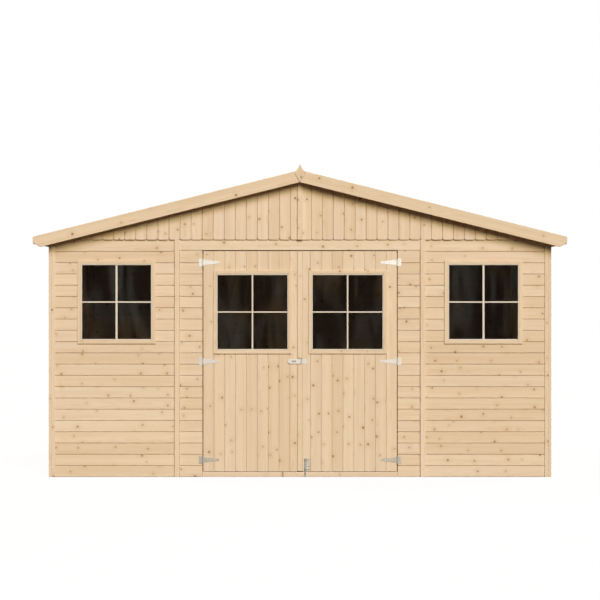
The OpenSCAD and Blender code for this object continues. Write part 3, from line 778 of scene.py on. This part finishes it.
# %% Sill in two lengths
SILL_JOINT = -27 * MM
left_sill = timbers("door_sill", 3 * MM)
right_sill = duplicate(left_sill)
saw(left_sill, X * (SILL_JOINT - 0.1 * MM), X)
saw(right_sill, X * (SILL_JOINT + 0.1 * MM), -X)
for half in (left_sill, right_sill):
    ease_edges(half, 3 * MM, 1, lambda e: abs(middle(e).x - SILL_JOINT) < 0.2 * MM)
    write_grain(half, grain_axes(half, X))
finish_piece(join([left_sill, right_sill]), "sill_board", "shed", planed_spruce, "door_sill")

# %% Barge boards, and the finials let into them
FINIAL_PROUD = 5 * MM
FINIAL_GAP = 3 * MM
LET_IN = 8 * MM


def finial_pocket(node):
    """A cutter for the pocket in the barge boards that the finial sits in, with a fine gap round it."""
    cutter = copy_node(node)
    low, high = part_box(node)
    size, centre = high - low, (low + high) / 2
    spare = Vector((FINIAL_GAP, LET_IN, FINIAL_GAP))
    grow = Matrix.Diagonal([1 + 2 * spare[i] / size[i] for i in range(3)] + [1])
    cutter.data.transform(Matrix.Translation(centre) @ grow @ Matrix.Translation(-centre))
    return cutter


for end, way in (("front", -1), ("back", 1)):
    for side in ("left", "right"):
        node = f"{end}_{side}_barge_board"
        barge = timbers(node, 3 * MM)
        cut_out(barge, finial_pocket(end + "_finial"))
        finish_piece(barge, f"{end}_{side}_barge", "shed", spruce_trim, node)
    finial = timbers(end + "_finial", 2 * MM, Z)
    finial.data.transform(Matrix.Translation(-Y * way * LET_IN))
    finial_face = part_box(node)[1 if way > 0 else 0].y + way * FINIAL_PROUD
    saw(finial, Y * finial_face, Y * way)
    ease_edges(finial, 1 * MM, 1, lambda e: abs(middle(e).y - finial_face) < 0.1 * MM)
    finish_piece(finial, end + "_finial_board", "shed", spruce_trim, end + "_finial")

# %% [markdown]
# ## Gables and doors
# These boards stand upright. The gable boards are sawn along both roof slopes and notched over the
# ridge beam and the purlins, and their lower ends are notched at each joint.
# The doors are clad with slightly narrower boards, from edge to edge.

# %% Gable boards
# Joints to the left and right of the middle one: the first one's place, and the step to the next
GABLE_LEFT = (-74.5 * MM, -86.4 * MM)
GABLE_RIGHT = (88.8 * MM, 85.4 * MM)
GABLE_MIDDLE = 3.4 * MM
GABLE_JOINTS = 22
HAIRLINE = 0.4 * MM
GABLE_SPARE = 10 * MM  # the boards start this far above the ridge, and are sawn
VEE = 10 * MM  # each board's lower corners are cut off this far, which leaves a notch at each joint


def gable_edges(half):
    """Edges of the upright boards from one end of the gable to the other."""
    left, right = [[first + n * step for n in range(GABLE_JOINTS)]
                   for first, step in (GABLE_LEFT, GABLE_RIGHT)]
    return [-half, *reversed(left), GABLE_MIDDLE, *right, half]


def beam_cutters():
    """Blocks as large as the ridge beam and the purlins, with a hairline round them."""
    cutters = []
    for beam in take_apart(copy_node("roof_purlins")):
        corners = [v.co for v in beam.data.vertices]
        low = Vector(map(min, *corners)) - Vector((HAIRLINE, HAIRLINE, HAIRLINE))
        high = Vector(map(max, *corners)) + Vector((HAIRLINE, HAIRLINE, OVERLONG))
        bpy.data.objects.remove(beam)
        cutters.append(block(low, high))
    return cutters


def gable(node, name, facing):
    """Upright boards of one gable; facing is 1 for the front and -1 for the back."""
    low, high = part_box(node)
    face = low.y if facing > 0 else high.y
    rise = ridge_under - low.z + GABLE_SPARE
    edges = gable_edges(high.x)
    base = stand(Vector((0, face, low.z + rise)), -Z, Y * facing)
    panel = lay_boards(gable_blank, base, rise, edges)
    for side in (1, -1):
        saw(panel, ridge, slope_ways(side)[1])
    for cutter in beam_cutters():
        cut_out(panel, cutter)
    write_grain(panel, base.inverted(), edges[:-1])
    finish_piece(panel, name, "shed", planed_spruce, node)


gable_blank = duplicate(wall_blank)
saw(gable_blank, (BLANK_LENGTH, 0, VEE), (X - Z).normalized())
saw(gable_blank, (BLANK_LENGTH, 0, BLANK_WIDTH - JOINT - VEE), (X + Z).normalized())
gable("front_gable", "front_gable_boards", 1)
gable("back_gable", "back_gable_boards", -1)
bpy.data.objects.remove(gable_blank)

# %% Door boards
DOOR_BOARD = 84.8 * MM
DOOR_FIRST = 80.3 * MM
MEETING_GAP = 0.9 * MM
DOOR_DROP = 3 * MM  # the boards reach this far below the frame's door, closer to the sill
DOOR_JOINT = 0.6 * MM
DOOR_CHAMFER = 3.2 * MM


def door(side, name, edges):
    """Upright boards of one door, with its window hole."""
    node = side + "_door_boards"
    low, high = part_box(node)
    low.z -= DOOR_DROP
    if side == "left":
        high.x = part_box("door_cover_strip")[0].x - MEETING_GAP
    place = stand(Vector((0, low.y, high.z)), -Z, Y)
    panel = lay_boards(door_blank, place, high.z - low.z, [low.x, *edges, high.x])
    cut_out(panel, window_cutter(side + "_door_window_frame"))
    if side == "right":
        cut_out(panel, kerf(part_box("door_cover_strip")[1].x, low, high))
    write_grain(panel, place.inverted(), [low.x, *edges])
    finish_piece(panel, name, side + "_door", planed_spruce, node)


door_blank = board_blank(wall_t, DOOR_JOINT, DOOR_CHAMFER)
door_lines = [DOOR_FIRST + n * DOOR_BOARD for n in range(8)]
door("left", "left_door_cladding", [-line for line in reversed(door_lines)])
door("right", "right_door_cladding", [DOOR_FIRST - DOOR_BOARD, *door_lines])

# %% [markdown]
# ## Floor and roof boards
# The floor boards run across the joists. The roof boards run from ridge to eaves with their chamfered
# faces down, where they show under the overhang and from inside.

# %% Floor
FLOOR_LINES = 32
low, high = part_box("floor_boards")
floor_blank = board_blank(high.z - low.z)
place = stand(Vector((low.x, low.y, high.z)), X, -Z)
edges = [n * (high.y - low.y) / FLOOR_LINES for n in range(FLOOR_LINES + 1)]
planks = lay_boards(floor_blank, place, high.x - low.x, edges)
write_grain(planks, place.inverted(), edges[:-1])
finish_piece(planks, "floor_planks", "shed", planed_spruce, "floor_boards")

# %% Roof boards
ROOF_LINES = 36


def roof_boards(node, name, side):
    """Boards of one slope, sawn upright at the ridge and at the eaves."""
    low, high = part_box(node)
    down, up = slope_ways(side)
    start = Vector((0, high.y if side > 0 else low.y, ridge_under)) - down * OVERLONG
    place = stand(start, down, up)
    edges = [n * (high.y - low.y) / ROOF_LINES for n in range(ROOF_LINES + 1)]
    far = high.x if side > 0 else -low.x
    slope = lay_boards(floor_blank, place, far / math.cos(PITCH) + 2 * OVERLONG, edges)
    saw(slope, Vector(), X * -side)
    saw(slope, X * side * far, X * side)
    write_grain(slope, place.inverted(), edges[:-1])
    finish_piece(slope, name, "shed", planed_spruce, node)


roof_boards("left_roof_boards", "left_roof_boarding", -1)
roof_boards("right_roof_boards", "right_roof_boarding", 1)
for blank in (wall_blank, door_blank, floor_blank):
    bpy.data.objects.remove(blank)

# %% [markdown]
# ## Windows
# Each window is a casing on the boards, beads that hold the pane, a liner through the wall, and
# glazing bars that part the pane in four. All are small planks, so one function cuts a plank to size,
# eases its edges and gives it grain along its length.

# %% A small plank
def plank(low, high, ease=1.2 * MM):
    """An eased plank between two corners, with grain along its longest side."""
    low, high = Vector(low), Vector(high)
    piece = block(low, high)
    ease_edges(piece, ease)
    size = list(high - low)
    write_grain(piece, grain_axes(piece, (X, Y, Z)[size.index(max(size))]))
    return piece


print("plank ready")

# %% Casing, beads, liner and bars
CASING = 28 * MM
BEAD = 9 * MM
BEAD_SET = 3 * MM
LINER = 11 * MM
LINER_GAP = 4 * MM
BAR_DEPTH = 8 * MM
BAR_EASE = 2.5 * MM
# Widths of the upright and the level bar, and of the casing's sides
WALL_WINDOW = (16.5 * MM, 11.5 * MM, CASING)
DOOR_WINDOW = (12.5 * MM, 11 * MM, 24 * MM)


def ring_of_planks(outer_low, outer_high, stile, rail, front, back, ease):
    """Four planks round an opening: stiles from end to end, and rails between them."""
    x0, z0, x1, z1 = outer_low.x, outer_low.z, outer_high.x, outer_high.z
    return [plank((x0, front, z0), (x0 + stile, back, z1), ease),
            plank((x1 - stile, front, z0), (x1, back, z1), ease),
            plank((x0 + stile, front, z0), (x1 - stile, back, z0 + rail), ease),
            plank((x0 + stile, front, z1 - rail), (x1 - stile, back, z1), ease)]


def window(side, body, upright, level, stile):
    """One window: upright and level are the widths of its bars, and stile that of the casing's sides."""
    prefix = side + ("_door" if body != "shed" else "")
    node = prefix + "_window_frame"
    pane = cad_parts[side + ("_door_glass" if body != "shed" else "_window_glass")]
    low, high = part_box(node)
    pane_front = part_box(pane.name)[0].y
    boards = front_wall[0].y
    inset = Vector((stile, 0, CASING))
    casing = ring_of_planks(low, high, stile, CASING, low.y, boards, 1.5 * MM)
    hole = Vector((LINER_LAP + LINER_GAP, 0, LINER_LAP + LINER_GAP))
    liner = ring_of_planks(low + hole, high - hole, LINER, LINER, boards, high.y, 1 * MM)
    finish_piece(join(casing + liner), prefix + "_window_casing", body, spruce_trim, node)
    bead = ring_of_planks(low + inset, high - inset, BEAD, BEAD, low.y + BEAD_SET, pane_front, 3 * MM)
    clear = inset + Vector((BEAD, 0, BEAD))
    clear_low, clear_high = low + clear, high - clear
    middle_x, middle_z = (low.x + high.x) / 2, (low.z + high.z) / 2
    front = pane_front - BAR_DEPTH
    left, right = middle_x - upright / 2, middle_x + upright / 2
    bars = [plank((left, front, clear_low.z), (right, pane_front, clear_high.z), BAR_EASE)]
    for x0, x1 in ((clear_low.x, left), (right, clear_high.x)):
        bars.append(plank((x0, front + 1 * MM, middle_z - level / 2), (x1, pane_front, middle_z + level / 2),
                          BAR_EASE))
    finish_piece(join(bead + bars), prefix + "_window_bars", body, sapwood)
    pane.data.materials.clear()
    pane.data.materials.append(glass)


for side in ("left", "right"):
    window(side, "shed", *WALL_WINDOW)
    window(side, side + "_door", *DOOR_WINDOW)

# %% [markdown]
# ## Roofing felt
# Felt comes in rolls about a metre wide. Two courses cover each slope, the upper lapping the lower,
# and a cap is folded over the ridge. Where a course steps over the one below it, its edge is lifted by
# the felt's own thickness. At the eaves the felt is turned down over the fascia and nailed.

# %% Lay the felt
LAP = 75 * MM
STEP = 20 * MM
LIP = 30 * MM
LIP_THICK = 2 * MM
ROLL = 1.0
FELT = 3 * MM


def felt_course(place, start, end, width, steps):
    """A strip of felt in the slope's own axes; steps is true where its lower edge laps another."""
    strip = block((start, 0, 0), (end, FELT, width))
    if steps:
        for line in (end - LAP - STEP, end - LAP):
            edit_all(strip)
            bpy.ops.mesh.bisect(plane_co=X * line, plane_no=X)
        pick(strip, "EDGE", lambda e: min(v.co.x for v in e.verts) > end - LAP - 1 * MM)
        bpy.ops.transform.translate(value=(0, FELT + 0.2 * MM, 0))
        clear_bench()
    ease_edges(strip, 0.8 * MM, 1)
    strip.data.transform(place)
    return strip


def felt_slope(node, name, side):
    """The felt of one slope: lower course, upper course, half of the ridge cap, and the turned-down lip."""
    low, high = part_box(node)
    down, up = slope_ways(side)
    top = Vector((0, high.y if side > 0 else low.y, high.z - FELT / math.cos(PITCH)))
    place = stand(top, down, up)
    width = high.y - low.y
    length = (high.x if side > 0 else -low.x) / math.cos(PITCH)
    strips = [felt_course(place, length - ROLL, length, width, False),
              felt_course(place, length - 2 * ROLL + LAP, length - ROLL + LAP, width, True),
              felt_course(place, 0, length - 2 * ROLL + 2 * LAP, width, True)]
    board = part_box("eaves_boards")
    face = board[1].x * side
    near, far = sorted((face, face + LIP_THICK * side))
    lip = block((near, low.y, low.z - LIP), (far, high.y, low.z + LIP_THICK))
    ease_edges(lip, 0.8 * MM, 1)
    finish_piece(join([*strips, lip]), name, "shed", felt, node)


felt_slope("left_roof_felt", "left_felt", -1)
felt_slope("right_roof_felt", "right_felt", 1)

# %% [markdown]
# ## Ironmongery
# The hinges, hasp and bolt are already the right shape. Pressed steel has no knife-sharp edges, so each
# is copied, merged, and its edges are broken by a third of a millimetre, and its barrels are shaded
# smooth.

# %% Hinges, hasp and bolt
def steel_piece(node, name, body, finish=zinc, ease=0.35 * MM):
    """A zinc plated copy of a node with broken edges."""
    piece = copy_node(node)
    ease_edges(piece, ease, 1)
    take(piece)
    bpy.ops.object.shade_smooth_by_angle(angle=math.radians(32))
    finish_piece(piece, name, body, finish, node)


for node, name, body in (("hinge_plates", "hinge_wall_plates", "shed"),
                         ("left_hinge_straps", "left_door_hinge_straps", "left_door"),
                         ("right_hinge_straps", "right_door_hinge_straps", "right_door"),
                         ("hasp_staple", "padlock_staple", "left_door"),
                         ("hasp_plate", "hasp_hinge_plate", "right_door"),
                         ("hasp_leaf", "hasp_slotted_leaf", "hasp_leaf")):
    steel_piece(node, name, body)
steel_piece("bolt_plate", "foot_bolt_plate", "right_door", passivated)
steel_piece("bolt_rod", "foot_bolt_rod", "bolt", galvanised)
steel_piece("bolt_keeper", "foot_bolt_keeper", "shed", galvanised)

# %% [markdown]
# ## Screws and nails
# Pan head screws hold the ironmongery, wire nails the trim, and broad clout nails the felt. One of each
# is modelled: a short cylinder whose rim is rounded, and for the screw a cross is cut in its head.
# Copies are turned to face outwards, each screw with its cross at its own angle.

# %% Model the fixings
def fixing(radius, height, dome):
    """A round head that faces -Y, its seat at y = 0 and a little of it sunk in."""
    clear_bench()
    sunk = 1 * MM
    bpy.ops.mesh.primitive_cylinder_add(vertices=16, radius=radius, depth=height + sunk,
                                        location=Y * (sunk - height) / 2, rotation=(math.radians(90), 0, 0))
    bpy.ops.object.transform_apply()
    head = bpy.context.object
    ease_edges(head, dome, 2, lambda e: middle(e).y < -0.5 * height)
    return head


screw = fixing(4 * MM, 1.6 * MM, 0.9 * MM)
# The cross is two slots; these are half their lengths and widths in millimetres
for arm in ((2.7, 0.5), (0.5, 2.7)):
    cut_out(screw, block((-arm[0] * MM, -3 * MM, -arm[1] * MM), (arm[0] * MM, -0.5 * MM, arm[1] * MM)))
nail = fixing(3 * MM, 0.5 * MM, 0.3 * MM)
clout = fixing(5.5 * MM, 1 * MM, 0.5 * MM)
print("screw faces:", len(screw.data.polygons))


# %% Drive them in
def drive(head, name, body, places, outward, finish=zinc):
    """Copies of a head at the given places, facing outward, as one piece."""
    copies = []
    turn = (-Y).rotation_difference(Vector(outward)).to_matrix().to_4x4()
    for place in places:
        copy = duplicate(head)
        spin = Matrix.Rotation(dice.uniform(0, math.pi), 4, "Y")
        copy.data.transform(Matrix.Translation(place) @ turn @ spin)
        copies.append(copy)
    finish_piece(join(copies), name, body, finish)


STEEL = 2 * MM
HINGE_HEIGHTS = (134, 904, 1678)
# Each hole as its distance from the pin and its height over the hinge's middle, or its place on the door
STRAP_HOLES = ((25, 11), (25, -11), (63, 0), (103, 0))
PLATE_HOLES = ((-18, -19), (-18, 0), (-18, 19))
HASP_HOLES = ((28, 893), (28, 917), (46, 905))
BOLT_HOLES = ((71, 62), (71, 134))
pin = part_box("hinge_plates")[1].x / MM - 30


def on_steel(x, z):
    """A point in millimetres on the face of the steel fittings."""
    return Vector((x * MM, front_wall[0].y - STEEL, z * MM))


def hinge_screws(way, holes):
    """Where a side's three hinges have those holes; way is 1 for the left door and -1 for the right."""
    return [on_steel(way * (dx - pin), z + dz) for z in HINGE_HEIGHTS for dx, dz in holes]


drive(screw, "left_strap_screws", "left_door", hinge_screws(1, STRAP_HOLES), -Y)
drive(screw, "right_strap_screws", "right_door", hinge_screws(-1, STRAP_HOLES), -Y)
drive(screw, "hinge_plate_screws", "shed", hinge_screws(1, PLATE_HOLES) + hinge_screws(-1, PLATE_HOLES), -Y)
drive(screw, "hasp_screws", "right_door", [on_steel(x, z) for x, z in HASP_HOLES], -Y)
drive(screw, "foot_bolt_screws", "right_door", [on_steel(x, z) for x, z in BOLT_HOLES], -Y, passivated)

# %% Nails of the trim
BARGE_MIDDLE = 46 * MM  # from a barge board's upper edge to its middle line
# Heights, and distances down the barge boards, in millimetres
GABLE_NAILS = (1900, 2080, 2255)
BARGE_NAILS = (170, 560, 1030, 1500, 1960)
MEETING_NAILS = (95, 470, 840, 970, 1350, 1720)
corner, strip_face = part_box("corner_trims")[1].xy
rows = [(60 + 434 * n) * MM for n in range(5)]
wall_end, wall_joint = -front_wall[0].x, -front_wall[1].x
for end, way in (("front", -1), ("back", 1)):
    outer = 1 if way > 0 else 0
    places = [Vector((x, way * face, z))
              for x, face in ((-wall_end, corner_face), (-wall_joint, strip_face), (wall_joint, strip_face),
                              (wall_end, corner_face)) for z in rows]
    gable_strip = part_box(end + "_cover_strips")[outer].y
    places += [Vector((0, gable_strip, z * MM)) for z in GABLE_NAILS]
    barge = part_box(end + "_left_barge_board")
    barge_face = barge[outer].y
    centre = Vector((0, barge_face, barge[1].z - BARGE_MIDDLE / math.cos(PITCH)))
    for distance in BARGE_NAILS:
        for across in (-22, 22):
            places += [centre + (down * distance + up * across) * MM
                       for down, up in (slope_ways(-1), slope_ways(1))]
    finial_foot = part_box(end + "_finial")[0].z
    places.append(Vector((0, barge_face + way * FINIAL_PROUD, finial_foot + 45 * MM)))
    drive(nail, end + "_trim_nails", "shed", places, Y * way)
drive(nail, "meeting_strip_nails", "right_door",
      [Vector((0.5 * MM, meeting_face, z * MM)) for z in MEETING_NAILS], -Y)
for side, way in (("left", -1), ("right", 1)):
    places = [Vector((way * corner, y * MM, z)) for y in (-1490, 1490) for z in rows]
    drive(nail, side + "_corner_nails", "shed", places, X * way)

# %% Clout nails of the felt
for side, way in (("left", -1), ("right", 1)):
    low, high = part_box(side + "_roof_felt")
    lines = [low.y + (45 + 150 * n) * MM for n in range(21)]
    lip = [Vector((way * max(abs(low.x), abs(high.x)), y, low.z - 14 * MM)) for y in lines]
    drive(clout, side + "_eaves_clouts", "shed", lip, X * way)
for blank in (screw, nail, clout):
    bpy.data.objects.remove(blank)

# %% [markdown]
# ## The studio
# A plain pale floor, and a soft key light from the upper right in front. The key is two lamps, a lower
# warm one and a higher cool one. Together they are neutral on a wall, and where an overhang hides the
# higher one, the shade turns warm, as it does under real eaves. Two more lamps light the back.
# The background is white to the camera and in reflections only. To everything else the world is a
# faint warm fill, like the light that comes back from the ground.

# %% Floor
bpy.ops.mesh.primitive_plane_add(size=120)
floor = bpy.context.object
floor.name = "studio_floor"
material, add = new_material("pale_studio_floor")
path = add("LightPath").outputs
seen = add("Math", {0: path["Is Camera Ray"], 1: path["Is Glossy Ray"]}, operation="MAXIMUM")
lift = add("Math", {0: seen, 1: 0.95}, operation="MULTIPLY")
matt = add("BsdfDiffuse", {"Color": colour("#423C33")})
glow = add("Emission", {"Color": colour("#FFFFFF"), "Strength": lift})
both = add("AddShader", {0: matt, 1: glow})
add("OutputMaterial", {"Surface": both})
floor.data.materials.append(material)
print("floor laid")

# %% Lights and background
def sun(name, toward, strength, softness, tint="#FFFFFF"):
    """A distant lamp that shines from the given direction."""
    bpy.ops.object.light_add(type="SUN")
    lamp = bpy.context.object
    lamp.name = name
    lamp.rotation_euler = Vector(toward).to_track_quat("Z", "Y").to_euler()
    lamp.data.energy = strength
    lamp.data.angle = math.radians(softness)
    lamp.data.color = colour(tint)[:3]


sun("low_key_light", (0.27, -1.0, 0.42), 2.21, 23, "#FFF8D7")
sun("high_key_light", (0.27, -1.0, 0.80), 2.44, 20, "#D3DDFF")
sun("left_back_light", (-1.0, 0.45, 0.6), 2.7, 25)
sun("right_back_light", (0.75, 0.9, 0.6), 2.7, 25)

world = bpy.data.worlds.new("studio")
bpy.context.scene.world = world
add = empty_tree(world)
path = add("LightPath").outputs
mirror = add("Math", {0: path["Is Camera Ray"], 1: path["Is Glossy Ray"]}, operation="MAXIMUM")
seen = add("Math", {0: mirror, 1: path["Is Transmission Ray"]}, operation="MAXIMUM")
fill = add("Background", {"Color": colour("#FFE0B0"), "Strength": 0.03})
white = add("Background", {"Color": colour("#FFFFFF"), "Strength": 1.0})
mix = add("MixShader", {0: seen, 1: fill, 2: white})
add("OutputWorld", {"Surface": mix})
bpy.context.scene.view_settings.view_transform = "Standard"
